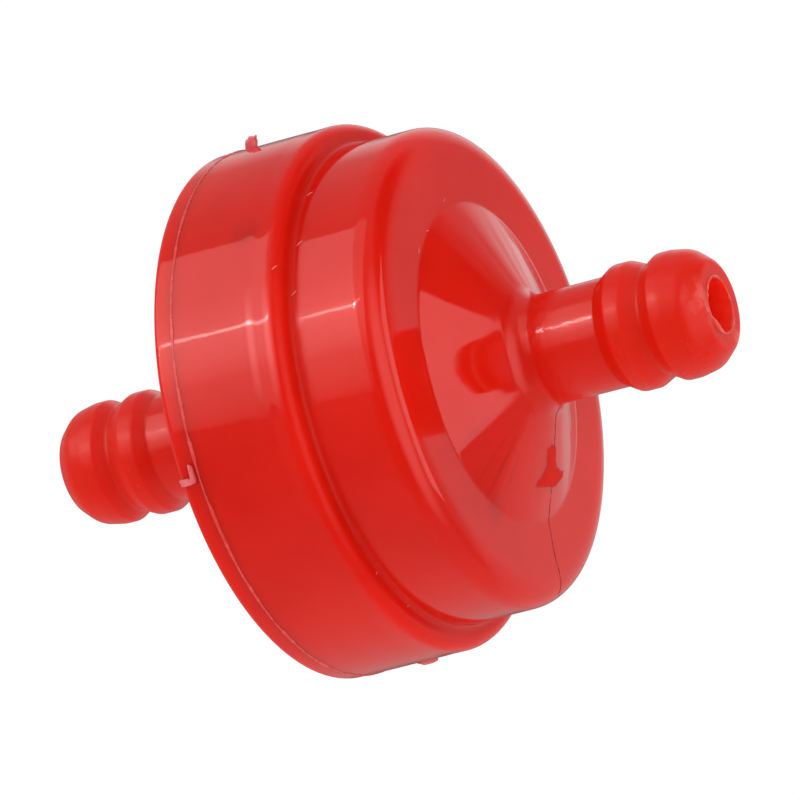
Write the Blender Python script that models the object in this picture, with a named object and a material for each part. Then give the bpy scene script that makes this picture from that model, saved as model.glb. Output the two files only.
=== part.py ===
"""Inline fuel filter: two welded plastic halves that clamp a framed screen between them.

The flow axis is +X, from the inlet barb to the outlet barb. The origin is on that axis,
midway between the two barb tips. Lengths in the constants are in millimetres.
"""

import math

import bmesh
import bpy
from mathutils import Matrix, Vector

MM = 0.001

# Whole filter
OVERALL_LENGTH = 47.6
PARTING_X = -5.95
FIT_GAP = 0.3
WALL = 1.4

# Fillets
SHARP = 0.0
ROOT_ROUND = 0.4
EDGE_ROUND = 0.5
CHAMBER_ROUND = 0.7
CONE_ROUND = 0.8
FOOT_ROUND = 1.5

# Facets: steps of a full turn, largest step of a fillet, largest angle that is shaded smooth
TURN_STEPS = 56
ARC_STEP = math.radians(34)
SMOOTH_ANGLE = math.radians(35)

# Hose barb, measured back from its tip; both ends are the same
BORE_RADIUS = 1.8
TIP_RADIUS = 2.95
TIP_SHOULDER = (1.1, 3.9)
NOSE_ROUND = 1.5
TIP_BEAD = (2.4, 3.2)
DIP_AT = 4.1
REAR_BEAD = (5.3, 6.3)
STEM_FROM = 7.2
BEAD_RADIUS = 4.15
DIP_RADIUS = 3.6
STEM_RADIUS = 3.6

# Outlet housing, from its widest band to the stem of its barb
BAND_RADIUS = 17.65
DRAFT = 0.1
STEP_X = 1.7
CROWN_RADIUS = 16.0
CROWN_ROUND = 1.6
CROWN_X = 7.9
CROWN_SLOPE = 0.2
CROWN_FLAT_RADIUS = 14.2
LIP_RADIUS = 10.7
CONE_FOOT_X = 10.9
THROAT_X = 10.3
SHOULDER_X = 0.0

# Inlet cover, from its rim to the stem of its barb
COVER_FACE_X = -7.4
COVER_CONE_RADIUS = 13.0
COVER_CONE_X = -10.2
COVER_CONE_TOP_RADIUS = 4.2
COVER_ROOT_X = -10.8
COVER_THROAT_X = -10.0
SKIRT_WALL = 1.3

# Screen: a ring, a hub and spokes behind the mesh
FRAME_THICKNESS = 1.6
FRAME_INNER_RADIUS = 13.2
SEAT_RADIUS = 14.9
SEAT_DEPTH = 0.6
HUB_INNER_RADIUS = 2.4
HUB_OUTER_RADIUS = 3.6
SPOKE_COUNT = 6
SPOKE_WIDTH = 1.0
MESH_THICKNESS = 0.3
MESH_PLAY = 0.15

# Places that follow from the sizes above
HOUSING_BORE = BAND_RADIUS - WALL
SKIRT_RADIUS = HOUSING_BORE - FIT_GAP
FRAME_FAR_X = SHOULDER_X - FIT_GAP
FRAME_NEAR_X = FRAME_FAR_X - FRAME_THICKNESS
SEAT_X = FRAME_NEAR_X + SEAT_DEPTH
SKIRT_END_X = FRAME_NEAR_X - FIT_GAP

RED = (0.68, 0.022, 0.012)
NATURAL_NYLON = (0.8, 0.78, 0.7)
CLOTH_WHITE = (0.86, 0.85, 0.8)


def clear_scene():
    for old in list(bpy.data.objects):
        bpy.data.objects.remove(old)


def plastic(name, color, roughness):
    material = bpy.data.materials.new(name)
    material.use_nodes = True
    shader = material.node_tree.nodes["Principled BSDF"]
    shader.inputs["Base Color"].default_value = (*color, 1.0)
    shader.inputs["Roughness"].default_value = roughness
    return material


def fillet_arc(corner, before, after, radius):
    """Points of the arc that rounds a corner between the directions to its two neighbours."""
    opening = before.angle(after)
    reach = radius / math.tan(opening / 2)
    centre = corner + (before + after).normalized() * radius / math.sin(opening / 2)
    start = corner + before * reach - centre
    end = corner + after * reach - centre
    sweep = math.atan2(start.cross(end), start.dot(end))
    count = max(1, math.ceil(abs(sweep) / ARC_STEP))
    points = []
    for step in range(count + 1):
        spoke_line = start.copy()
        spoke_line.rotate(Matrix.Rotation(sweep * step / count, 2))
        points.append(centre + spoke_line)
    return points


def rounded(corners):
    """Turn the (x, radius, fillet) corners of a closed outline into its points."""
    points = []
    for index, (x, r, fillet) in enumerate(corners):
        corner = Vector((x, r))
        before = Vector(corners[index - 1][:2]) - corner
        after = Vector(corners[(index + 1) % len(corners)][:2]) - corner
        if fillet == SHARP:
            points.append(corner)
        else:
            points += fillet_arc(corner, before.normalized(), after.normalized(), fillet)
    return points


def to_mesh(name, shape):
    mesh = bpy.data.meshes.new(name)
    shape.to_mesh(mesh)
    shape.free()
    return mesh


def turned(name, corners):
    """Spin a closed outline of (x, radius, fillet) corners about the X axis."""
    shape = bmesh.new()
    ring = [shape.verts.new((point.x * MM, 0.0, point.y * MM)) for point in rounded(corners)]
    edges = [shape.edges.new((ring[index - 1], ring[index])) for index in range(len(ring))]
    bmesh.ops.spin(
        shape,
        geom=ring + edges,
        axis=(1.0, 0.0, 0.0),
        angle=2 * math.pi,
        steps=TURN_STEPS,
        use_merge=True,
    )
    bmesh.ops.recalc_face_normals(shape, faces=shape.faces)
    return to_mesh(name, shape)


def add_part(name, mesh, material):
    mesh.materials.append(material)
    mesh.shade_smooth()
    mesh.set_sharp_from_angle(angle=SMOOTH_ANGLE)
    part = bpy.data.objects.new(name, mesh)
    bpy.context.collection.objects.link(part)
    return part


def add_guide(name, mesh):
    guide = bpy.data.objects.new(name, mesh)
    guide.hide_render = True
    guide.display_type = "WIRE"
    bpy.context.collection.objects.link(guide)
    return guide


def barb(tip_x, inward):
    """Outer corners of a barb, from its stem to its tip; inward is the X direction to the body."""
    outline = [
        (STEM_FROM, STEM_RADIUS, ROOT_ROUND),
        (REAR_BEAD[1], BEAD_RADIUS, EDGE_ROUND),
        (REAR_BEAD[0], BEAD_RADIUS, EDGE_ROUND),
        (DIP_AT, DIP_RADIUS, ROOT_ROUND),
        (TIP_BEAD[1], BEAD_RADIUS, ROOT_ROUND),
        (TIP_BEAD[0], BEAD_RADIUS, NOSE_ROUND),
        (*TIP_SHOULDER, NOSE_ROUND),
        (0.0, TIP_RADIUS, EDGE_ROUND),
    ]
    return [(tip_x + inward * back, r, fillet) for back, r, fillet in outline]


def outlet_housing(material):
    """The stepped cup, its crown and cone, and the outlet barb, all one moulding."""
    tip_x = OVERALL_LENGTH / 2
    outer = [
        (PARTING_X, BAND_RADIUS, SHARP),
        (STEP_X, BAND_RADIUS - DRAFT, EDGE_ROUND),
        (STEP_X, CROWN_RADIUS, ROOT_ROUND),
        (CROWN_X - CROWN_SLOPE, CROWN_RADIUS - DRAFT, CROWN_ROUND),
        (CROWN_X, CROWN_FLAT_RADIUS, SHARP),
        (CROWN_X, LIP_RADIUS, SHARP),
        (CONE_FOOT_X, STEM_RADIUS, FOOT_ROUND),
    ]
    inner = [
        (tip_x, BORE_RADIUS, SHARP),
        (THROAT_X, BORE_RADIUS, EDGE_ROUND),
        (CROWN_X - WALL, LIP_RADIUS, CHAMBER_ROUND),
        (CROWN_X - WALL, CROWN_RADIUS - WALL, CHAMBER_ROUND),
        (SHOULDER_X, CROWN_RADIUS - WALL, SHARP),
        (SHOULDER_X, HOUSING_BORE, SHARP),
        (PARTING_X, HOUSING_BORE, SHARP),
    ]
    mesh = turned("outlet_housing", outer + barb(tip_x, -1) + inner)
    return add_part("outlet_housing", mesh, material)


def inlet_cover(material):
    """The shallow cover, the skirt that holds the screen down, and the inlet barb."""
    tip_x = -OVERALL_LENGTH / 2
    rim_x = PARTING_X - FIT_GAP
    inside_x = COVER_FACE_X + WALL
    outer = [
        (rim_x, BAND_RADIUS, SHARP),
        (COVER_FACE_X, BAND_RADIUS, CONE_ROUND),
        (COVER_FACE_X, COVER_CONE_RADIUS, CONE_ROUND),
        (COVER_CONE_X, COVER_CONE_TOP_RADIUS, CONE_ROUND),
        (COVER_ROOT_X, STEM_RADIUS, EDGE_ROUND),
    ]
    inner = [
        (tip_x, BORE_RADIUS, SHARP),
        (COVER_THROAT_X, BORE_RADIUS, EDGE_ROUND),
        (inside_x, COVER_CONE_RADIUS, CHAMBER_ROUND),
        (inside_x, SKIRT_RADIUS - SKIRT_WALL, CHAMBER_ROUND),
        (SKIRT_END_X, SKIRT_RADIUS - SKIRT_WALL, SHARP),
        (SKIRT_END_X, SKIRT_RADIUS, SHARP),
        (rim_x, SKIRT_RADIUS, SHARP),
    ]
    mesh = turned("inlet_cover", outer + barb(tip_x, 1) + inner)
    return add_part("inlet_cover", mesh, material)


def hub():
    """The small ring where the frame's spokes meet."""
    corners = [
        (SEAT_X, HUB_INNER_RADIUS, SHARP),
        (SEAT_X, HUB_OUTER_RADIUS, SHARP),
        (FRAME_FAR_X, HUB_OUTER_RADIUS, SHARP),
        (FRAME_FAR_X, HUB_INNER_RADIUS, SHARP),
    ]
    return add_guide("hub_guide", turned("hub_guide", corners))


def spoke(angle):
    """A bar from the middle of the hub's wall to the middle of the seat's ledge."""
    start = (HUB_INNER_RADIUS + HUB_OUTER_RADIUS) / 2
    end = (FRAME_INNER_RADIUS + SEAT_RADIUS) / 2
    middle = Vector((SEAT_X + FRAME_FAR_X, 0.0, start + end)) / 2 * MM
    size = Vector((FRAME_FAR_X - SEAT_X, SPOKE_WIDTH, end - start)) * MM
    place = Matrix.Rotation(angle, 4, "X") @ Matrix.Translation(middle)
    shape = bmesh.new()
    bmesh.ops.create_cube(shape, size=1.0, matrix=place @ Matrix.Diagonal((*size, 1.0)))
    return add_guide("spoke_guide", to_mesh("spoke_guide", shape))


def screen_frame(material):
    """The ring that the cover's skirt presses on the housing's shoulder, with its hub and spokes."""
    ring = [
        (FRAME_NEAR_X, SEAT_RADIUS + FIT_GAP, SHARP),
        (FRAME_NEAR_X, SKIRT_RADIUS, SHARP),
        (FRAME_FAR_X, SKIRT_RADIUS, SHARP),
        (FRAME_FAR_X, FRAME_INNER_RADIUS, SHARP),
        (SEAT_X, FRAME_INNER_RADIUS, SHARP),
        (SEAT_X, SEAT_RADIUS + FIT_GAP, SHARP),
    ]
    frame = add_part("screen_frame", turned("screen_frame", ring), material)
    angles = [2 * math.pi * turn / SPOKE_COUNT for turn in range(SPOKE_COUNT)]
    for guide in [hub()] + [spoke(angle) for angle in angles]:
        union = frame.modifiers.new("join_" + guide.name, "BOOLEAN")
        union.operation = "UNION"
        union.object = guide
    return frame


def filter_mesh(material):
    """The disc of screen cloth in the frame's seat."""
    middle_x = FRAME_NEAR_X + MESH_PLAY + MESH_THICKNESS / 2
    place = Matrix.Translation((middle_x * MM, 0.0, 0.0)) @ Matrix.Rotation(math.pi / 2, 4, "Y")
    shape = bmesh.new()
    bmesh.ops.create_cone(
        shape,
        cap_ends=True,
        segments=TURN_STEPS,
        radius1=SEAT_RADIUS * MM,
        radius2=SEAT_RADIUS * MM,
        depth=MESH_THICKNESS * MM,
        matrix=place,
    )
    return add_part("filter_mesh", to_mesh("filter_mesh", shape), material)


def main():
    clear_scene()
    red = plastic("red_plastic", RED, roughness=0.22)
    outlet_housing(red)
    inlet_cover(red)
    screen_frame(plastic("natural_nylon", NATURAL_NYLON, roughness=0.4))
    filter_mesh(plastic("nylon_cloth", CLOTH_WHITE, roughness=0.6))


main()
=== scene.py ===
"""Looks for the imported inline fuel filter: a glossy, slightly translucent red moulding in a white studio.

The CAD frame is loaded first. The two halves and the screen's cloth are then replaced by finer pieces in
the same places, from outlines in millimetres about the X axis, and the screen's frame gets a material.
Small marks of the moulding are pieces of their own. The world is in metres.
"""

import math

import bmesh
import bpy
from mathutils import Matrix, Vector, noise


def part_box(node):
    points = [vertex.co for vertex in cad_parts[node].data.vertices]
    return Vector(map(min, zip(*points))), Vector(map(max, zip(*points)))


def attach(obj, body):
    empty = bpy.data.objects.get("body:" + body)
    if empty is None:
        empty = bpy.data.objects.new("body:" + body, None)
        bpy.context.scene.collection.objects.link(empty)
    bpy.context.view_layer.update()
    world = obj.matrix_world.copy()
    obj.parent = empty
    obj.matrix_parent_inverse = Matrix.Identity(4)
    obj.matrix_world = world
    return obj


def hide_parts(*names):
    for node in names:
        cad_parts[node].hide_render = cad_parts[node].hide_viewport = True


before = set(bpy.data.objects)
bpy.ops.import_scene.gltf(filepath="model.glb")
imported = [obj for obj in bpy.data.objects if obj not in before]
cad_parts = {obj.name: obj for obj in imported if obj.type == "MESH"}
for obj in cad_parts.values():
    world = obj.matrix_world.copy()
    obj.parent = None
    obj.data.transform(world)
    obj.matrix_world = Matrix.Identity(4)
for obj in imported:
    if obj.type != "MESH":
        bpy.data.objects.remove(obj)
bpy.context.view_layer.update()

MM = 0.001

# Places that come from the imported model
TIP_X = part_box("outlet_housing")[1].x / MM
PARTING_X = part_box("outlet_housing")[0].x / MM
BAND_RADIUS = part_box("outlet_housing")[1].z / MM
SKIRT_END_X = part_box("inlet_cover")[1].x / MM
SKIRT_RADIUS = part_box("screen_frame")[1].z / MM
CLOTH_X = (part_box("filter_mesh")[0].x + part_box("filter_mesh")[1].x) / 2 / MM
CLOTH_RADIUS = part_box("filter_mesh")[1].z / MM
WALL = 1.4
WELD_GAP = 0.005

# Fillets of the moulding
SHARP = 0.0
CRISP = 0.06
ROOT_ROUND = 0.4
EDGE_ROUND = 0.5
CHAMBER_ROUND = 0.7
CONE_ROUND = 0.8

# Fineness of the turned pieces
TURN_STEPS = 192
FINE_ARC = math.radians(9)
SUPPORT = 0.07
LONGEST_RUN = 1.0
SMOOTH_ANGLE = math.radians(40)

# Hose barb, measured back from its tip
BORE_RADIUS = 1.8
TIP_RADIUS = 2.95
TIP_ROUND = 0.6
TIP_SHOULDER = (1.1, 3.9)
NOSE_ROUND = 1.5
TIP_BEAD = (2.4, 3.2)
DIP_AT = 4.1
REAR_BEAD = (5.3, 6.3)
STEM_FROM = 7.2
BEAD_RADIUS = 4.15
DIP_RADIUS = 3.6
STEM_RADIUS = 3.6

# Outlet housing
DRAFT = 0.1
STEP_X = 1.7
BAND_EDGE_ROUND = 0.8
STEP_ROOT_ROUND = 0.4
CROWN_RADIUS = 16.0
CROWN_X = 7.9
CROWN_CURVE = (1.75, 2.2)
CROWN_FULLNESS = 0.85
CROWN_CURVE_STEPS = 24
LIP_RADIUS = 10.7
LIP_ROUND = 0.8
CONE_FOOT_X = 10.9
FOOT_ROUND = 1.5
THROAT_X = 10.3
SHOULDER_X = 0.0

# Inlet cover
COVER_FACE_X = -7.4
COVER_CONE_RADIUS = 13.0
COVER_CONE_X = -10.2
COVER_CONE_TOP_RADIUS = 4.2
COVER_RIM_ROUND = 0.45
COVER_ROOT_X = -10.8
COVER_THROAT_X = -10.0
SKIRT_WALL = 1.3

# Screen cloth
THREAD_PITCH = 0.6
THREAD_RADIUS = 0.075
THREAD_WEAVE = 0.07

# How far daylight soaks into the plastic, in metres, in the skin and in the bore's wall
SKIN_DEPTH = 0.0015
BORE_DEPTH = 0.006

# Colours of each plastic, dark and light
RED = ((0.66, 0.008, 0.002), (0.78, 0.013, 0.005))
# The bore's paler red is painted glow of daylight through the thin wall, on top of its deeper real
# soak-through
BORE_PAINTED_GLOW_RED = ((0.9, 0.025, 0.008), (0.97, 0.04, 0.014))
FLASH_PINK = ((0.74, 0.07, 0.07), (0.83, 0.16, 0.17))
MOUTH_PINK = ((0.8, 0.05, 0.035), (0.88, 0.16, 0.13))
WELD_RED = ((0.74, 0.03, 0.028), (0.82, 0.07, 0.065))
KNIT_RED = ((0.24, 0.004, 0.003), (0.36, 0.008, 0.005))
MATT_RED = ((0.64, 0.01, 0.004), (0.72, 0.016, 0.007))
SWARF_PINK = ((0.8, 0.14, 0.12), (0.86, 0.22, 0.19))
CLOTH_WHITE = ((0.8, 0.79, 0.74), (0.9, 0.89, 0.84))
FRAME_WHITE = ((0.74, 0.72, 0.64), (0.84, 0.82, 0.74))

# Shallow sink mark in the band, over the housing's inner shoulder
SINK_X = -0.1
SINK_HALF_WIDTH = 0.5
SINK_DEPTH = 0.02
SINK_SPAN = 0.9
SINK_STEP = 0.1

# Moulding waviness: how far the skin wanders, and over what length
WAVE_HEIGHT = 0.012
WAVE_LENGTH = 6.0

# Flutes in the cone: about how many across and how high, and the darker streaks in them
STREAK_COUNT = 7.0
STREAK_HEIGHT = 0.03
STREAK_SCALE = 9.0
STREAK_PLACE = (8.5, -7.9, -3.6)
STREAK_COLOR = (0.52, 0.003, 0.001)

# Tint of the plastic's shine, the red of the barbs, and how much duller the plastic is beyond a distance
# from a plane, or within one, as (X of the plane, where it starts, where it is full, roughness added)
SPECULAR_TINT = (1.0, 0.58, 0.55, 1.0)
BARB_COLOR = (0.73, 0.013, 0.003)
DULLER = [
    (0.0, 9.6, 10.6, 0.09),
    (0.0, 17.0, 17.6, 0.12),
    (1.7, 0.9, 0.45, 0.15),
]

# Paler stripes of painted highlight round the band over the inner shoulder, kept to where the overhead
# softbox shines on it: their X, and where on the band they are
SHEEN_STRIPES = [-0.4, 0.85]
SHEEN_STRIPE_PLACE = (0.2, -14.6, 9.6)
SHEEN_STRIPE_COLOR = (0.88, 0.13, 0.12)

# Weld bead between the halves, and the ragged flash at the mouth of each bore
RING_STEPS = 720
RING_SIDES = 8
WELD_SIZE = 0.13
WELD_SUNK = 0.03
WELD_RAGGED = 0.4
WELD_FINENESS = 9.0
MOUTH_SIZE = 0.15
MOUTH_PLACE = (TIP_X - 0.05, BORE_RADIUS + 0.06)
MOUTH_RAGGED = 1.1
MOUTH_FINENESS = 1.3

# Flash nibs left on the weld: how ragged, round, slanted and sunk they are, and for each one its angle
# round the axis, middle in X, length, height and thickness
NIB_RAGGED = 0.28
NIB_ROUNDNESS = 0.6
NIB_LEAN = 0.25
NIB_SUNK = 0.05
NIBS = [
    (101.0, -4.55, 0.9, 0.75, 0.3),
    (9.0, -6.95, 0.9, 0.3, 0.5),
    (10.5, -6.35, 0.3, 0.45, 1.1),
    (-79.0, -3.6, 1.6, 0.4, 0.4),
    (-172.0, -6.4, 1.4, 0.5, 0.4),
]

# Knit line on the outlet face, as (y, z) places that it runs through, and the blister on it
KNIT_LINE = [(-0.8, -3.7), (-0.8, -5.5), (-1.3, -8.5), (-1.8, -10.5), (-3.0, -13.0), (-3.4, -15.2)]
KNIT_WIDTH = 0.05
FACE_VIEW_X = 14.5
BLISTER_PLACE = (-1.5, -7.7)
BLISTER_OUTLINE = [
    (-2.2, -5.7),
    (-0.8, -6.0),
    (-0.2, -7.8),
    (1.4, -8.7),
    (-0.5, -8.9),
    (-3.9, -7.5),
    (-2.4, -7.0),
]
BLISTER_RAGGED = 0.25
BLISTER_LEVELS = (0.2, 0.4, 0.6, 0.8, 0.95, 1.0)
BLISTER_HEIGHT = 0.05
BLISTER_SUNK = 0.01

# Whiskers of swarf that cling to the skin: X, radius, angle, turn, length
WHISKER_SIZE = 0.045
WHISKERS = [
    (2.2, 16.0, 73.0, 35.0, 0.45),
    (2.3, 16.0, 57.0, 35.0, 0.5),
    (2.0, 16.0, 44.0, 40.0, 0.55),
    (1.5, 17.5, 48.5, 30.0, 0.45),
    (7.9, 11.0, 64.0, 110.0, 0.4),
    (7.9, 10.7, 76.0, 55.0, 0.45),
    (7.9, 11.1, 97.0, 115.0, 0.4),
    (1.7, 16.4, -25.0, 50.0, 0.4),
    (1.7, 16.3, -39.0, 20.0, 0.4),
]

# Dull dark spots of painted shade, from the inner parts behind the wall, as points near the skin
INNER_SHADE_SPOTS = [(-0.9, -9.0, 15.1), (7.9, -8.5, -6.9)]
INNER_SHADE_COLOR = (0.4, 0.01, 0.008)

# Pale scuffs round the outlet's mouth, as (place, where the scuff is full, where it ends)
SCUFFS = [((TIP_X, -2.1, 1.1), 0.7, 1.9), ((TIP_X, 0.6, -2.5), 0.4, 1.3)]
SCUFF_COLOR = (0.86, 0.15, 0.12)

# Studio: light of the white room, greys of the walls from floor to ceiling as reflections see them,
# and patches of wall as (azimuth, elevation, inner angle, outer angle, grey)
ROOM_LIGHT = 1.0
WALL_GREYS = [
    (0.0, 0.45),
    (0.07, 0.43),
    (0.15, 0.38),
    (0.37, 0.3),
    (0.5, 0.3),
    (0.63, 0.33),
    (0.9, 0.38),
    (1.0, 0.4),
]
WALL_PATCHES = [
    (160.0, -42.0, 25.0, 29.0, 0.5),
    (-170.0, 0.0, 4.0, 30.0, 0.9),
    (128.0, 22.0, 16.0, 30.0, 0.04),
    (112.0, -33.0, 8.0, 14.0, 0.25),
    (14.0, 2.0, 24.0, 48.0, 0.1),
    (207.0, -15.0, 8.0, 20.0, 0.12),
]

# Brightness of the overhead softbox from its near edge to its far one
SOFTBOX_LEVELS = [(0.0, 0.15), (0.25, 0.6), (0.55, 1.0), (0.63, 1.7), (0.74, 2.4), (0.86, 1.5), (1.0, 1.0)]

# Lamps flat under the ceiling, as X span and Y span in lengths of their own height, height and radiance
SOFTBOX_HEIGHT = 0.5
SOFTBOX_DEPTH = (-3.0, 0.146)
SOFTBOXES = [("softbox_left", (-1.4, -0.4), 1.0), ("softbox_right", (-0.4, 0.3), 0.5)]
TUBE_LAMP = ((-1.1, -0.1), (-0.615, -0.597), 0.49, 11.0)
HOT_LAMP = ((-0.47, -0.445), (-0.63, -0.595), 0.48, 200.0)

# Lamps at the side, as azimuth, elevation, width, height and radiance; solid is the share at full level
RIGHT_SOFTBOX = (68.0, 5.0, 70.0, 95.0, 1.2)
RIGHT_SOFTBOX_SOLID = 0.4
REAR_SOFTBOX = (112.0, -5.0, 19.0, 34.0, 1.3)

# Camera
CAMERA_AZIMUTH = 26.92
CAMERA_ELEVATION = 15.0
CAMERA_ROLL = -22.05
CAMERA_DISTANCE = 347.46
CAMERA_RIGHT = 0.523
CAMERA_DOWN = 0.631
LENS = 240.7
SENSOR = 36.0


# ---------------------------------------------------------------- outlines

def fillet_arc(corner, before, after, radius):
    """Points of the arc that rounds a corner between the directions to its two neighbours."""
    opening = before.angle(after)
    reach = radius / math.tan(opening / 2)
    centre = corner + (before + after).normalized() * radius / math.sin(opening / 2)
    start = corner + before * reach - centre
    end = corner + after * reach - centre
    sweep = math.atan2(start.cross(end), start.dot(end))
    count = max(2, math.ceil(abs(sweep) / FINE_ARC))
    points = []
    for step in range(count + 1):
        spoke_line = start.copy()
        spoke_line.rotate(Matrix.Rotation(sweep * step / count, 2))
        points.append(centre + spoke_line)
    return points


def rounded(corners):
    """Turn the (x, radius, fillet) corners of a closed outline into its points."""
    points = []
    for index, (x, r, fillet) in enumerate(corners):
        corner = Vector((x, r))
        before = Vector(corners[index - 1][:2]) - corner
        after = Vector(corners[(index + 1) % len(corners)][:2]) - corner
        if fillet == 0.0:
            points.append(corner)
        else:
            points += fillet_arc(corner, before.normalized(), after.normalized(), fillet)
    return points


def supported(points):
    """Add points along the straight runs, so that they shade flat right up to each fillet."""
    filled = []
    for index, point in enumerate(points):
        run = points[(index + 1) % len(points)] - point
        filled.append(point)
        if run.length > 4 * SUPPORT:
            inner = run.length - 2 * SUPPORT
            count = max(1, math.ceil(inner / LONGEST_RUN))
            along = run.normalized()
            filled += [point + along * (SUPPORT + inner * step / count) for step in range(count + 1)]
    return filled


def barb(tip_x, inward):
    """Outer corners of a barb, from its stem to its tip; inward is the X direction to the body."""
    outline = [
        (STEM_FROM, STEM_RADIUS, ROOT_ROUND),
        (REAR_BEAD[1], BEAD_RADIUS, EDGE_ROUND),
        (REAR_BEAD[0], BEAD_RADIUS, EDGE_ROUND),
        (DIP_AT, DIP_RADIUS, ROOT_ROUND),
        (TIP_BEAD[1], BEAD_RADIUS, ROOT_ROUND),
        (TIP_BEAD[0], BEAD_RADIUS, NOSE_ROUND),
        (*TIP_SHOULDER, NOSE_ROUND),
        (0.0, TIP_RADIUS, TIP_ROUND),
    ]
    return [(tip_x + inward * back, r, fillet) for back, r, fillet in outline]


def crown_curve():
    """Points of the quarter oval that rounds the crown's front edge."""
    along, across = CROWN_CURVE
    points = []
    for step in range(CROWN_CURVE_STEPS + 1):
        turn = math.pi / 2 * step / CROWN_CURVE_STEPS
        x = CROWN_X - along + along * math.sin(turn) ** CROWN_FULLNESS
        r = CROWN_RADIUS - DRAFT / 2 - across + across * max(0.0, math.cos(turn)) ** CROWN_FULLNESS
        points.append((x, r, SHARP))
    return points


def sink_mark():
    """Points of the band where it dips a little over the inner shoulder."""
    count = round(2 * SINK_SPAN / SINK_STEP)
    marks = []
    for step in range(count + 1):
        x = SINK_X - SINK_SPAN + step * SINK_STEP
        taper = DRAFT * (x - PARTING_X) / (STEP_X - PARTING_X)
        dip = SINK_DEPTH * math.exp(-((x - SINK_X) / SINK_HALF_WIDTH) ** 2)
        marks.append((x, BAND_RADIUS - taper - dip, 0.0))
    return marks


# ---------------------------------------------------------------- meshes

def to_mesh(name, shape):
    """Turn a bmesh into a named mesh."""
    mesh = bpy.data.meshes.new(name)
    shape.to_mesh(mesh)
    shape.free()
    return mesh


def turned(name, corners, steps=TURN_STEPS):
    """Spin a closed outline of (x, radius, fillet) corners about the X axis."""
    shape = bmesh.new()
    outline = supported(rounded(corners))
    ring = [shape.verts.new((point.x * MM, 0.0, point.y * MM)) for point in outline]
    edges = [shape.edges.new((ring[index - 1], ring[index])) for index in range(len(ring))]
    bmesh.ops.spin(
        shape,
        geom=ring + edges,
        axis=(1.0, 0.0, 0.0),
        angle=2 * math.pi,
        steps=steps,
        use_merge=True,
    )
    bmesh.ops.recalc_face_normals(shape, faces=shape.faces)
    return to_mesh(name, shape)


def waved(mesh):
    """Let the skin wander by about a hundredth of a millimetre, as a moulding's does."""
    for vertex in mesh.vertices:
        swell = noise.noise(vertex.co / (WAVE_LENGTH * MM))
        radial = Vector((0.0, vertex.co.y, vertex.co.z)).normalized()
        vertex.co += radial * (swell * WAVE_HEIGHT * MM)
    return mesh


def streaked(mesh):
    """Faint radial flutes in the cone, where the melt ran out from the barb."""
    for vertex in mesh.vertices:
        radial = Vector((0.0, vertex.co.y, vertex.co.z))
        share = (radial.length / MM - STEM_RADIUS) / (LIP_RADIUS - STEM_RADIUS)
        if vertex.co.x > CROWN_X * MM and 0.0 < share < 1.0:
            flute = noise.noise(radial.normalized() * STREAK_COUNT)
            vertex.co.x += flute * STREAK_HEIGHT * MM * math.sin(math.pi * share)
    return mesh


def bore_faces_lighter(mesh):
    """Give the second material to the faces of the bore, whose wall the daylight shines through, and whose
    paler red is partly painted glow.
    """
    for face in mesh.polygons:
        if math.hypot(face.center.y, face.center.z) < (BORE_RADIUS + 2 * CRISP) * MM:
            face.material_index = 1


def add_piece(name, mesh, materials, nodes=()):
    """Add a smooth piece that rides on the part, in place of the CAD nodes given."""
    for material in materials:
        mesh.materials.append(material)
    mesh.shade_smooth()
    mesh.set_sharp_from_angle(angle=SMOOTH_ANGLE)
    piece = bpy.data.objects.new(name, mesh)
    bpy.context.scene.collection.objects.link(piece)
    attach(piece, "root")
    if nodes:
        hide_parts(*nodes)
    return piece


# ---------------------------------------------------------------- materials

def new_material(name):
    """A material, its node tree and its Principled BSDF."""
    material = bpy.data.materials.new(name)
    material.use_nodes = True
    return material, material.node_tree, material.node_tree.nodes["Principled BSDF"]


def noise_node(tree, scale, detail=3.0, roughness=0.5, stretch=(1.0, 1.0, 1.0)):
    """Noise over the part, which may be stretched along an axis."""
    coords = tree.nodes.new("ShaderNodeTexCoord")
    mapping = tree.nodes.new("ShaderNodeMapping")
    mapping.inputs["Scale"].default_value = stretch
    texture = tree.nodes.new("ShaderNodeTexNoise")
    texture.inputs["Scale"].default_value = scale
    texture.inputs["Detail"].default_value = detail
    texture.inputs["Roughness"].default_value = roughness
    tree.links.new(coords.outputs["Object"], mapping.inputs["Vector"])
    tree.links.new(mapping.outputs["Vector"], texture.inputs["Vector"])
    return texture.outputs["Fac"]


def ramp(tree, value, stops):
    """Colour a 0 to 1 value; stops are (place, colour)."""
    node = tree.nodes.new("ShaderNodeValToRGB")
    while len(node.color_ramp.elements) < len(stops):
        node.color_ramp.elements.new(0.5)
    for element, (position, color) in zip(node.color_ramp.elements, stops):
        element.position = position
        element.color = (*color, 1.0)
    tree.links.new(value, node.inputs["Fac"])
    return node.outputs["Color"]


def spread(tree, value, low, high, new_low, new_high):
    """Map one range of a value onto another."""
    node = tree.nodes.new("ShaderNodeMapRange")
    node.inputs["From Min"].default_value = low
    node.inputs["From Max"].default_value = high
    node.inputs["To Min"].default_value = new_low
    node.inputs["To Max"].default_value = new_high
    tree.links.new(value, node.inputs["Value"])
    return node.outputs["Result"]


def bump(tree, height, strength, distance, base=None):
    """A bumped normal, on top of another one if it is given."""
    node = tree.nodes.new("ShaderNodeBump")
    node.inputs["Strength"].default_value = strength
    node.inputs["Distance"].default_value = distance
    tree.links.new(height, node.inputs["Height"])
    if base:
        tree.links.new(base, node.inputs["Normal"])
    return node.outputs["Normal"]


def near(tree, point, inner, outer):
    """1 within inner of a point and 0 beyond outer, in millimetres."""
    coords = tree.nodes.new("ShaderNodeTexCoord")
    gap = tree.nodes.new("ShaderNodeVectorMath")
    gap.operation = "DISTANCE"
    gap.inputs[1].default_value = Vector(point) * MM
    tree.links.new(coords.outputs["Object"], gap.inputs[0])
    return spread(tree, gap.outputs["Value"], inner * MM, outer * MM, 1.0, 0.0)


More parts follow.
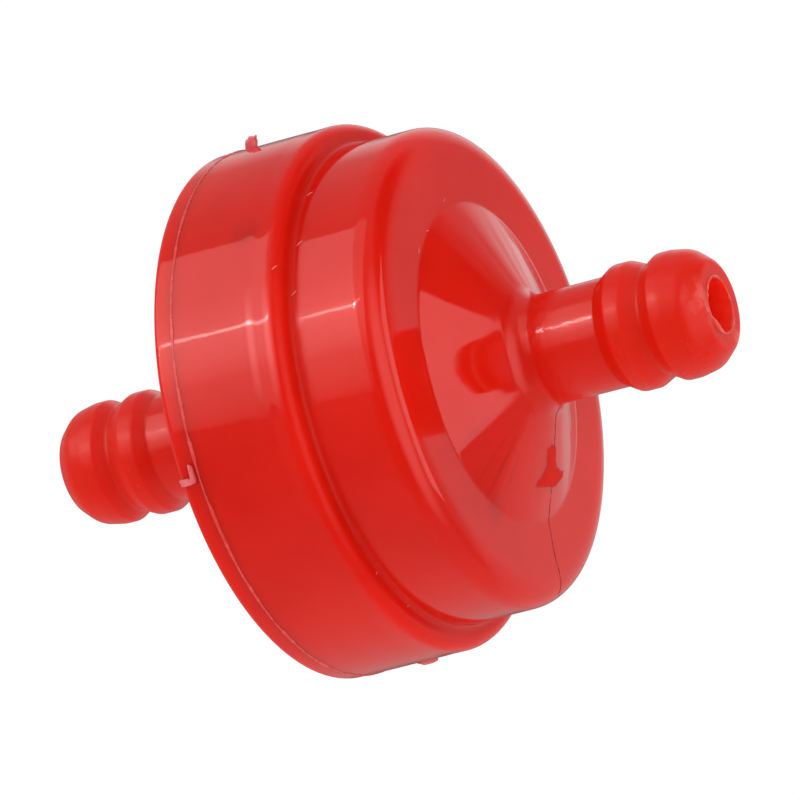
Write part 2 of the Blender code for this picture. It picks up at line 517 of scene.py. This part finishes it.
def mixed(tree, factor, first, second):
    """Blend two colours; each is a socket or a fixed colour."""
    node = tree.nodes.new("ShaderNodeMix")
    node.data_type = "RGBA"
    tree.links.new(factor, node.inputs["Factor"])
    for name, value in (("A", first), ("B", second)):
        if isinstance(value, tuple):
            node.inputs[name].default_value = (*value, 1.0)
        else:
            tree.links.new(value, node.inputs[name])
    return node.outputs["Result"]


def combined(tree, first, second, operation="ADD"):
    """Join two values by a sum or another operation; each is a socket or a number."""
    node = tree.nodes.new("ShaderNodeMath")
    node.operation = operation
    for index, value in enumerate((first, second)):
        if isinstance(value, float):
            node.inputs[index].default_value = value
        else:
            tree.links.new(value, node.inputs[index])
    return node.outputs["Value"]


def beyond(tree, middle, start, end):
    """0 up to one distance from a plane across the X axis and 1 from another, in millimetres."""
    coords = tree.nodes.new("ShaderNodeTexCoord")
    split = tree.nodes.new("ShaderNodeSeparateXYZ")
    size = tree.nodes.new("ShaderNodeMath")
    size.operation = "ABSOLUTE"
    tree.links.new(coords.outputs["Object"], split.inputs["Vector"])
    tree.links.new(combined(tree, split.outputs["X"], -middle * MM), size.inputs[0])
    return spread(tree, size.outputs["Value"], start * MM, end * MM, 0.0, 1.0)


def angular_noise(tree, scale):
    """Noise that changes only with the angle round the X axis."""
    coords = tree.nodes.new("ShaderNodeTexCoord")
    flat = tree.nodes.new("ShaderNodeVectorMath")
    flat.operation = "MULTIPLY"
    flat.inputs[1].default_value = (0.0, 1.0, 1.0)
    outward = tree.nodes.new("ShaderNodeVectorMath")
    outward.operation = "NORMALIZE"
    texture = tree.nodes.new("ShaderNodeTexNoise")
    texture.inputs["Scale"].default_value = scale
    texture.inputs["Detail"].default_value = 2.0
    tree.links.new(coords.outputs["Object"], flat.inputs[0])
    tree.links.new(flat.outputs["Vector"], outward.inputs[0])
    tree.links.new(outward.outputs["Vector"], texture.inputs["Vector"])
    return texture.outputs["Fac"]


def translucent(shader, depth):
    """Let daylight soak through the plastic; depth is in metres and red goes furthest."""
    shader.inputs["Subsurface Weight"].default_value = 0.8
    shader.inputs["Subsurface Radius"].default_value = (1.0, 0.04, 0.02)
    shader.inputs["Subsurface Scale"].default_value = depth
    shader.inputs["IOR"].default_value = 1.5
    shader.inputs["Specular IOR Level"].default_value = 0.7
    shader.inputs["Specular Tint"].default_value = SPECULAR_TINT


def red_plastic(name, dark, light):
    """Glossy, slightly translucent red: cloudy colour, faint orange peel, smears, duller barbs, stripes of
    painted highlight on the band and spots of painted shade.
    """
    material, tree, shader = new_material(name)
    translucent(shader, SKIN_DEPTH)
    color = ramp(tree, noise_node(tree, 90.0, detail=4.0), [(0.3, dark), (0.7, light)])
    streaks = spread(tree, angular_noise(tree, STREAK_SCALE), 0.44, 0.54, 0.0, 0.7)
    streaks = combined(tree, streaks, near(tree, STREAK_PLACE, 1.5, 3.2), "MULTIPLY")
    color = mixed(tree, streaks, color, STREAK_COLOR)
    # Paler stripes on the band: painted highlight of the overhead softbox
    for x in SHEEN_STRIPES:
        sheen_stripe = spread(tree, beyond(tree, x, 0.35, 0.1), 0.0, 1.0, 0.0, 0.55)
        sheen_stripe = combined(tree, sheen_stripe, near(tree, SHEEN_STRIPE_PLACE, 1.0, 4.0), "MULTIPLY")
        color = mixed(tree, sheen_stripe, color, SHEEN_STRIPE_COLOR)
    color = mixed(tree, beyond(tree, 0.0, 10.5, 17.0), color, BARB_COLOR)
    # Darker spots: painted shade of the inner parts behind the wall
    for point in INNER_SHADE_SPOTS:
        inner_shade = combined(tree, near(tree, point, 0.2, 1.3), noise_node(tree, 900.0), "MULTIPLY")
        color = mixed(tree, inner_shade, color, INNER_SHADE_COLOR)
    for place, full, end in SCUFFS:
        torn = spread(tree, noise_node(tree, 800.0, detail=5.0), 0.46, 0.6, 0.0, 0.6)
        torn = combined(tree, torn, near(tree, place, full, end), "MULTIPLY")
        color = mixed(tree, torn, color, SCUFF_COLOR)
    tree.links.new(color, shader.inputs["Base Color"])
    smears = noise_node(tree, 240.0, detail=5.0, roughness=0.65, stretch=(1.0, 0.5, 0.5))
    gloss = spread(tree, smears, 0.3, 0.75, 0.035, 0.08)
    for middle, start, end, duller in DULLER:
        gloss = combined(tree, gloss, spread(tree, beyond(tree, middle, start, end), 0.0, 1.0, 0.0, duller))
    tree.links.new(gloss, shader.inputs["Roughness"])
    shine = spread(tree, beyond(tree, 0.0, 17.0, 17.6), 0.0, 1.0, 0.7, 0.4)
    groove = spread(tree, beyond(tree, 1.7, 0.9, 0.45), 0.0, 1.0, 1.0, 0.35)
    tree.links.new(combined(tree, shine, groove, "MULTIPLY"), shader.inputs["Specular IOR Level"])
    peel = bump(tree, noise_node(tree, 420.0, detail=1.0), 0.3, 0.00002)
    coarse = spread(tree, beyond(tree, 0.0, 10.0, 11.0), 0.0, 1.0, 0.12, 1.1)
    rough_grain = combined(tree, noise_node(tree, 1900.0, detail=3.0), coarse, "MULTIPLY")
    tree.links.new(bump(tree, rough_grain, 0.8, 0.00002, base=peel), shader.inputs["Normal"])
    return material


def glowing_bore(name, dark, light):
    """The wall of the bore, which daylight reaches through the thin barb: a deeper real soak-through, with
    a paler red that adds painted glow on top.
    """
    material, tree, shader = new_material(name)
    translucent(shader, BORE_DEPTH)
    fine = noise_node(tree, 700.0, detail=3.0)
    tree.links.new(ramp(tree, fine, [(0.3, dark), (0.7, light)]), shader.inputs["Base Color"])
    tree.links.new(spread(tree, fine, 0.3, 0.7, 0.3, 0.45), shader.inputs["Roughness"])
    tree.links.new(bump(tree, fine, 0.4, 0.00002), shader.inputs["Normal"])
    return material


def plain_plastic(name, dark, light, rough, shine=0.5):
    """A small mark's plastic: two shades in a fine cloud, with grain."""
    material, tree, shader = new_material(name)
    shader.inputs["Specular IOR Level"].default_value = shine
    fine = noise_node(tree, 1500.0, detail=3.0)
    tree.links.new(ramp(tree, fine, [(0.3, dark), (0.7, light)]), shader.inputs["Base Color"])
    tree.links.new(spread(tree, fine, 0.3, 0.7, rough - 0.1, rough + 0.1), shader.inputs["Roughness"])
    tree.links.new(bump(tree, fine, 0.5, 0.00002), shader.inputs["Normal"])
    return material


def nylon(name, dark, light, rough):
    """Satin natural nylon: cloudy off-white with fine grain."""
    material, tree, shader = new_material(name)
    cloud = noise_node(tree, 300.0, detail=3.0)
    tree.links.new(ramp(tree, cloud, [(0.3, dark), (0.7, light)]), shader.inputs["Base Color"])
    fine = noise_node(tree, 1800.0, detail=2.0)
    tree.links.new(spread(tree, fine, 0.3, 0.7, rough - 0.08, rough + 0.08), shader.inputs["Roughness"])
    tree.links.new(bump(tree, fine, 0.3, 0.00002), shader.inputs["Normal"])
    return material


# ---------------------------------------------------------------- pieces

def outlet_housing_shell(materials):
    """The stepped cup with its crown, flat ring, cone and outlet barb."""
    outer = [
        (PARTING_X, BAND_RADIUS, SHARP),
        *sink_mark(),
        (STEP_X, BAND_RADIUS - DRAFT, BAND_EDGE_ROUND),
        (STEP_X, CROWN_RADIUS, STEP_ROOT_ROUND),
        *crown_curve(),
        (CROWN_X, LIP_RADIUS, LIP_ROUND),
        (CONE_FOOT_X, STEM_RADIUS, FOOT_ROUND),
    ]
    inner = [
        (TIP_X, BORE_RADIUS, CRISP),
        (THROAT_X, BORE_RADIUS, EDGE_ROUND),
        (CROWN_X - WALL, LIP_RADIUS, CHAMBER_ROUND),
        (CROWN_X - WALL, CROWN_RADIUS - WALL, CHAMBER_ROUND),
        (SHOULDER_X, CROWN_RADIUS - WALL, CRISP),
        (SHOULDER_X, BAND_RADIUS - WALL, CRISP),
        (PARTING_X, BAND_RADIUS - WALL, CRISP),
    ]
    mesh = streaked(waved(turned("outlet_housing_shell", outer + barb(TIP_X, -1) + inner)))
    bore_faces_lighter(mesh)
    return add_piece("outlet_housing_shell", mesh, materials, ["outlet_housing"])


def inlet_cover_shell(materials):
    """The shallow cover with its skirt and inlet barb."""
    rim_x = PARTING_X - WELD_GAP
    inside_x = COVER_FACE_X + WALL
    outer = [
        (rim_x, BAND_RADIUS, SHARP),
        (COVER_FACE_X, BAND_RADIUS, COVER_RIM_ROUND),
        (COVER_FACE_X, COVER_CONE_RADIUS, CONE_ROUND),
        (COVER_CONE_X, COVER_CONE_TOP_RADIUS, CONE_ROUND),
        (COVER_ROOT_X, STEM_RADIUS, EDGE_ROUND),
    ]
    inner = [
        (-TIP_X, BORE_RADIUS, CRISP),
        (COVER_THROAT_X, BORE_RADIUS, EDGE_ROUND),
        (inside_x, COVER_CONE_RADIUS, CHAMBER_ROUND),
        (inside_x, SKIRT_RADIUS - SKIRT_WALL, CHAMBER_ROUND),
        (SKIRT_END_X, SKIRT_RADIUS - SKIRT_WALL, CRISP),
        (SKIRT_END_X, SKIRT_RADIUS, CRISP),
        (rim_x, SKIRT_RADIUS, CRISP),
    ]
    mesh = waved(turned("inlet_cover_shell", outer + barb(-TIP_X, 1) + inner))
    bore_faces_lighter(mesh)
    return add_piece("inlet_cover_shell", mesh, materials, ["inlet_cover"])


def around(angle, radius):
    """(y, z) at an angle round the axis, from -Y upwards."""
    a = math.radians(angle)
    return -radius * math.cos(a), radius * math.sin(a)


def add_strand(shape, path, sides, sizes):
    """Loft a thin round strand through points in millimetres, one size for each point."""
    rings = []
    for index, point in enumerate(path):
        ahead = path[min(index + 1, len(path) - 1)]
        behind = path[max(index - 1, 0)]
        turn = (ahead - behind).to_track_quat("Z", "X")
        ring = []
        for side in range(sides):
            a = 2 * math.pi * side / sides
            offset = turn @ Vector((math.cos(a), math.sin(a), 0.0)) * sizes[index]
            ring.append(shape.verts.new((point + offset) * MM))
        rings.append(ring)
    for first, second in zip(rings, rings[1:]):
        for side in range(sides):
            beside = (side + 1) % sides
            shape.faces.new((first[side], first[beside], second[beside], second[side]))
    shape.faces.new(reversed(rings[0]))
    shape.faces.new(rings[-1])


def uneven_ring(name, x, radius, thickness, ragged, fineness):
    """A thin ring of plastic round the axis, thicker and thinner as it goes; ragged is by how much."""
    shape = bmesh.new()
    rings = []
    for step in range(RING_STEPS):
        angle = 360.0 * step / RING_STEPS
        y, z = around(angle, 1.0)
        place = Vector((y, z, x))
        swell = noise.noise(place * fineness) + 0.5 * noise.noise(place * 4 * fineness)
        size = thickness * (0.65 + ragged * swell)
        middle = Vector((x + 0.04 * swell, *around(angle, radius)))
        out = Vector((0.0, y, z))
        ring = []
        for side in range(RING_SIDES):
            a = 2 * math.pi * side / RING_SIDES
            offset = out * math.cos(a) * size + Vector((math.sin(a) * size * 1.2, 0.0, 0.0))
            ring.append(shape.verts.new((middle + offset) * MM))
        rings.append(ring)
    for index in range(RING_STEPS):
        first, second = rings[index - 1], rings[index]
        for side in range(RING_SIDES):
            beside = (side + 1) % RING_SIDES
            shape.faces.new((first[side], first[beside], second[beside], second[side]))
    bmesh.ops.recalc_face_normals(shape, faces=shape.faces)
    return to_mesh(name, shape)


def weld_bead(material):
    """The uneven bead of plastic that the weld squeezed out at the parting plane."""
    radius = BAND_RADIUS - WELD_SUNK
    mesh = uneven_ring("weld_bead", PARTING_X, radius, WELD_SIZE, WELD_RAGGED, WELD_FINENESS)
    return add_piece("weld_bead", mesh, [material])


def mouth_flash(name, side, material):
    """Torn flash round the mouth of a bore; side is 1 at the outlet and -1 at the inlet."""
    x, radius = MOUTH_PLACE
    mesh = uneven_ring(name, side * x, radius, MOUTH_SIZE, MOUTH_RAGGED, MOUTH_FINENESS)
    return add_piece(name, mesh, [material])


def screen_cloth(material):
    """The screen: plain-woven threads that end at a circle."""
    shape = bmesh.new()
    count = math.floor(CLOTH_RADIUS / THREAD_PITCH)
    for number in range(-count, count + 1):
        across = number * THREAD_PITCH
        reach = math.sqrt(CLOTH_RADIUS ** 2 - across ** 2) - THREAD_RADIUS
        halves = math.floor(2 * reach / THREAD_PITCH)
        for warp in (True, False):
            path = []
            for half in range(-halves, halves + 1):
                along = half * THREAD_PITCH / 2
                over = math.cos(math.pi * half / 2) * (1.0 if number % 2 == 0 else -1.0)
                lift = over * THREAD_WEAVE * (1.0 if warp else -1.0)
                flat = (across, along) if warp else (along, across)
                path.append(Vector((CLOTH_X + lift, *flat)))
            if len(path) > 2:
                add_strand(shape, path, 4, [THREAD_RADIUS] * len(path))
    mesh = to_mesh("screen_cloth", shape)
    return add_piece("screen_cloth", mesh, [material], ["filter_mesh"])


def flash_nibs(material):
    """Ragged little fins of flash, a quarter turn apart."""
    shape = bmesh.new()
    for number, (angle, x, length, height, thickness) in enumerate(NIBS):
        made = bmesh.ops.create_icosphere(shape, subdivisions=4, radius=1.0)["verts"]
        for vertex in made:
            ragged = 1.0 + NIB_RAGGED * noise.noise(vertex.co * 1.7 + Vector((0.0, 0.0, 7.0 * number)))
            box_like = Vector([math.copysign(abs(v) ** NIB_ROUNDNESS, v) for v in vertex.co]) * ragged
            lean = NIB_LEAN * length * box_like.z
            size = Vector((length / 2, thickness / 2, height))
            vertex.co = box_like * size + Vector((lean, 0.0, 0.0))
        place = Matrix.Rotation(math.radians(90.0 - angle), 4, "X")
        lift = Matrix.Translation((x, 0.0, BAND_RADIUS - NIB_SUNK))
        bmesh.ops.transform(shape, matrix=Matrix.Scale(MM, 4) @ place @ lift, verts=made)
    return add_piece("flash_nibs", to_mesh("flash_nibs", shape), [material])


def on_face(shell, y, z):
    """The point of a shell's outlet side at (y, z) and its normal, in millimetres."""
    start = Vector((FACE_VIEW_X, y, z)) * MM
    hit, point, normal, _ = shell.ray_cast(start, Vector((-1.0, 0.0, 0.0)))
    assert hit, "the knit line leaves the outlet face"
    return point / MM, normal


def smooth_path(corners, steps):
    """Points of a Catmull-Rom curve through 2-D corners."""
    ends = [corners[0], *corners, corners[-1]]
    path = []
    for index in range(len(corners) - 1):
        a, b, c, d = (Vector(p) for p in ends[index:index + 4])
        for step in range(steps):
            t = step / steps
            path.append(0.5 * (2 * b + (c - a) * t + (2 * a - 5 * b + 4 * c - d) * t * t
                               + (3 * b - a - 3 * c + d) * t ** 3))
    return [*path, Vector(corners[-1])]


def knit_line(shell, material):
    """The hairline where the melt fronts met on the outlet face."""
    shape = bmesh.new()
    path = []
    sizes = []
    for y, z in smooth_path(KNIT_LINE, 14):
        wander = 0.06 * noise.noise(Vector((y, z, 5.0)) * 2.5)
        point, normal = on_face(shell, y + wander, z)
        path.append(point - normal * KNIT_WIDTH * 0.5)
        sizes.append(KNIT_WIDTH * (0.9 + 0.5 * noise.noise(Vector((y, z, 1.0)) * 4.0)))
    add_strand(shape, path, 6, sizes)
    return add_piece("knit_line", to_mesh("knit_line", shape), [material])


def blister(shell, material):
    """The ragged matt spot on the knit line: a thin cushion laid on the cone."""
    shape = bmesh.new()
    middle = Vector(BLISTER_PLACE)
    edge = smooth_path([*BLISTER_OUTLINE, BLISTER_OUTLINE[0]], 10)[:-1]
    for corner in edge:
        wander = [noise.noise(Vector((*corner, layer)) * 2.5) for layer in (2.0, 5.0)]
        corner += BLISTER_RAGGED * Vector(wander)
    sides = len(edge)
    levels = []
    for share in BLISTER_LEVELS:
        level = []
        for corner in edge:
            y, z = middle + (corner - middle) * share
            point, normal = on_face(shell, y, z)
            height = BLISTER_HEIGHT * (1.0 - share ** 3) - BLISTER_SUNK
            level.append(shape.verts.new((point + normal * height) * MM))
        levels.append(level)
    point, normal = on_face(shell, *BLISTER_PLACE)
    top = shape.verts.new((point + normal * (BLISTER_HEIGHT - BLISTER_SUNK)) * MM)
    for side in range(sides):
        shape.faces.new((top, levels[0][side], levels[0][(side + 1) % sides]))
    for inner_ring, outer_ring in zip(levels, levels[1:]):
        for side in range(sides):
            beside = (side + 1) % sides
            shape.faces.new((inner_ring[side], outer_ring[side], outer_ring[beside], inner_ring[beside]))
    shape.faces.new(levels[-1])
    bmesh.ops.recalc_face_normals(shape, faces=shape.faces)
    return add_piece("blister", to_mesh("blister", shape), [material])


def whiskers(material):
    """Fine curls of swarf that cling near the edges."""
    shape = bmesh.new()
    for x, radius, angle, turn, length in WHISKERS:
        out = Vector((0.0, *around(angle, 1.0)))
        if x > CROWN_X - 0.1:
            out, along = Vector((1.0, 0.0, 0.0)), out
        else:
            along = Vector((1.0, 0.0, 0.0))
        along = Matrix.Rotation(math.radians(turn), 3, out) @ along
        middle = Vector((x, *around(angle, radius)))
        path = []
        sizes = []
        for step in range(7):
            t = step / 6 - 0.5
            path.append(middle + along * (t * length) + out * (0.03 - 0.12 * t * t))
            sizes.append(WHISKER_SIZE * (1.0 - 3.2 * t * t))
        add_strand(shape, path, 6, sizes)
    return add_piece("whiskers", to_mesh("whiskers", shape), [material])


# ---------------------------------------------------------------- studio

def direction(azimuth, elevation):
    """Unit vector towards a place in the studio; azimuth 0 is -Y and 90 is +X."""
    a = math.radians(azimuth)
    e = math.radians(elevation)
    return Vector((math.sin(a) * math.cos(e), -math.cos(a) * math.cos(e), math.sin(e)))


def area_light(name, centre, facing, size, radiance):
    """A rectangular lamp of even radiance, seen only in reflections and in the light that it throws."""
    lamp = bpy.data.lights.new(name, "AREA")
    lamp.shape = "RECTANGLE"
    lamp.size, lamp.size_y = size
    lamp.energy = radiance * math.pi * size[0] * size[1]
    light = bpy.data.objects.new(name, lamp)
    bpy.context.scene.collection.objects.link(light)
    light.location = centre
    light.rotation_euler = facing.to_track_quat("-Z", "Y").to_euler()
    light.visible_camera = False
    return light


def ceiling_light(name, x_span, y_span, height, radiance):
    """A lamp flat under the ceiling, over a rectangle given in lengths of its own height."""
    centre = Vector((sum(x_span) / 2 * height, sum(y_span) / 2 * height, height))
    size = ((x_span[1] - x_span[0]) * height, (y_span[1] - y_span[0]) * height)
    light = area_light(name, centre, Vector((0.0, 0.0, -1.0)), size, radiance)
    light.rotation_euler = (0.0, 0.0, 0.0)
    light.visible_diffuse = False
    return light


def side_light(name, azimuth, elevation, width, height, radiance, distance=0.8):
    """A softbox that faces the filter; its width and height are angles in degrees."""
    out = direction(azimuth, elevation)
    size = [2 * distance * math.tan(math.radians(angle) / 2) for angle in (width, height)]
    light = area_light(name, out * distance, -out, size, radiance)
    light.visible_diffuse = False
    return light


def graded(light, value, stops):
    """Colour a lamp by a 0 to 1 value across its face; stops are (value, level)."""
    tree = light.data.node_tree
    grade = ramp(tree, value, [(place, (level,) * 3) for place, level in stops])
    tree.links.new(grade, tree.nodes["Emission"].inputs["Color"])


def face_place(light):
    """The place on a lamp's face, 0 to 1 both ways, as a vector socket."""
    light.data.use_nodes = True
    return light.data.node_tree.nodes.new("ShaderNodeNewGeometry").outputs["Parametric"]


def grade_along(light, stops):
    """Grade a lamp along its Y size, from its near edge to its far one."""
    place = face_place(light)
    tree = light.data.node_tree
    split = tree.nodes.new("ShaderNodeSeparateXYZ")
    tree.links.new(place, split.inputs["Vector"])
    graded(light, split.outputs["Y"], stops)


def feathered(light, solid):
    """Fade a lamp from its middle to its rim; solid is the share that stays at full level."""
    place = face_place(light)
    tree = light.data.node_tree
    gap = tree.nodes.new("ShaderNodeVectorMath")
    gap.operation = "DISTANCE"
    gap.inputs[1].default_value = (0.5, 0.5, 0.0)
    tree.links.new(place, gap.inputs[0])
    graded(light, gap.outputs["Value"], [(solid / 2, 1.0), (0.5, 0.0)])


def patch(tree, coords, azimuth, elevation, inner, outer):
    """1 within an angle of a direction in the studio and 0 beyond a wider one."""
    dot = tree.nodes.new("ShaderNodeVectorMath")
    dot.operation = "DOT_PRODUCT"
    dot.inputs[1].default_value = direction(azimuth, elevation)
    tree.links.new(coords, dot.inputs[0])
    low, high = math.cos(math.radians(outer)), math.cos(math.radians(inner))
    return spread(tree, dot.outputs["Value"], low, high, 0.0, 1.0)


def build_world():
    """A white room for the diffuse light; reflections see grey walls with paler and darker patches."""
    world = bpy.data.worlds.new("studio")
    world.use_nodes = True
    tree = world.node_tree
    tree.nodes.clear()
    coords = tree.nodes.new("ShaderNodeTexCoord").outputs["Generated"]
    split = tree.nodes.new("ShaderNodeSeparateXYZ")
    tree.links.new(coords, split.inputs["Vector"])
    height = spread(tree, split.outputs["Z"], -1.0, 1.0, 0.0, 1.0)
    mirrored = ramp(tree, height, [(place, (level,) * 3) for place, level in WALL_GREYS])
    for azimuth, elevation, inner, outer, level in WALL_PATCHES:
        mask = patch(tree, coords, azimuth, elevation, inner, outer)
        mirrored = mixed(tree, mask, mirrored, (level,) * 3)
    rays = tree.nodes.new("ShaderNodeLightPath")
    seen = mixed(tree, rays.outputs["Is Glossy Ray"], (ROOM_LIGHT,) * 3, mirrored)
    background = tree.nodes.new("ShaderNodeBackground")
    tree.links.new(seen, background.inputs["Color"])
    output = tree.nodes.new("ShaderNodeOutputWorld")
    tree.links.new(background.outputs["Background"], output.inputs["Surface"])
    bpy.context.scene.world = world


def build_floor():
    """A plain white sweep all round, which the camera sees and which lights nothing."""
    shape = bmesh.new()
    bmesh.ops.create_icosphere(shape, subdivisions=4, radius=3.0)
    floor = bpy.data.objects.new("white_sweep", to_mesh("white_sweep", shape))
    bpy.context.scene.collection.objects.link(floor)
    material, tree, shader = new_material("white_sweep")
    shader.inputs["Base Color"].default_value = (0.0, 0.0, 0.0, 1.0)
    shader.inputs["Emission Color"].default_value = (1.0, 1.0, 1.0, 1.0)
    shader.inputs["Emission Strength"].default_value = 1.0
    floor.data.materials.append(material)
    floor.visible_glossy = False
    floor.visible_diffuse = False
    floor.visible_transmission = False
    floor.visible_shadow = False
    return floor


def build_lights():
    """An overhead softbox in two parts, a thin tube and a small hot lamp in it, and two at the side."""
    for name, x_span, level in SOFTBOXES:
        lamp = ceiling_light(name, x_span, SOFTBOX_DEPTH, SOFTBOX_HEIGHT, level)
        grade_along(lamp, SOFTBOX_LEVELS)
    ceiling_light("tube_lamp", *TUBE_LAMP)
    ceiling_light("hot_lamp", *HOT_LAMP)
    feathered(side_light("right_softbox", *RIGHT_SOFTBOX), RIGHT_SOFTBOX_SOLID)
    side_light("rear_softbox", *REAR_SOFTBOX)


def build_camera():
    """The camera at the photographer's place, aimed near the middle of the part."""
    camera = bpy.data.cameras.new("camera")
    camera.sensor_width = SENSOR
    camera.lens = LENS
    camera.clip_start = 0.01
    camera.clip_end = 20.0
    view = bpy.data.objects.new("camera", camera)
    bpy.context.scene.collection.objects.link(view)
    back = direction(CAMERA_AZIMUTH, CAMERA_ELEVATION)
    turn = (-back).to_track_quat("-Z", "Y").to_matrix() @ Matrix.Rotation(math.radians(CAMERA_ROLL), 3, "Z")
    view.rotation_euler = turn.to_euler()
    aim = turn @ Vector((CAMERA_RIGHT, -CAMERA_DOWN, 0.0)) * MM
    view.location = aim + back * CAMERA_DISTANCE * MM
    bpy.context.scene.camera = view


def main():
    scene = bpy.context.scene
    scene.view_settings.view_transform = "Standard"
    red = red_plastic("red_plastic", *RED)
    painted_glow_bore = glowing_bore("bore_painted_glow", *BORE_PAINTED_GLOW_RED)
    flash = plain_plastic("pink_flash", *FLASH_PINK, 0.35)
    mouth = plain_plastic("mouth_pink", *MOUTH_PINK, 0.4, 0.3)
    bead = plain_plastic("weld_red", *WELD_RED, 0.25)
    knit = plain_plastic("knit_red", *KNIT_RED, 0.5, 0.15)
    matt = plain_plastic("matt_red", *MATT_RED, 0.7, 0.06)
    swarf = plain_plastic("swarf_pink", *SWARF_PINK, 0.4)
    housing = outlet_housing_shell([red, painted_glow_bore])
    inlet_cover_shell([red, painted_glow_bore])
    weld_bead(bead)
    mouth_flash("outlet_mouth_flash", 1, mouth)
    mouth_flash("inlet_mouth_flash", -1, mouth)
    flash_nibs(flash)
    knit_line(housing, knit)
    blister(housing, matt)
    whiskers(swarf)
    screen_cloth(nylon("cloth_nylon", *CLOTH_WHITE, 0.5))
    screen_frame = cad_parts["screen_frame"]
    screen_frame.data.materials.clear()
    screen_frame.data.materials.append(nylon("frame_nylon", *FRAME_WHITE, 0.4))
    build_world()
    build_floor()
    build_lights()
    build_camera()


main()
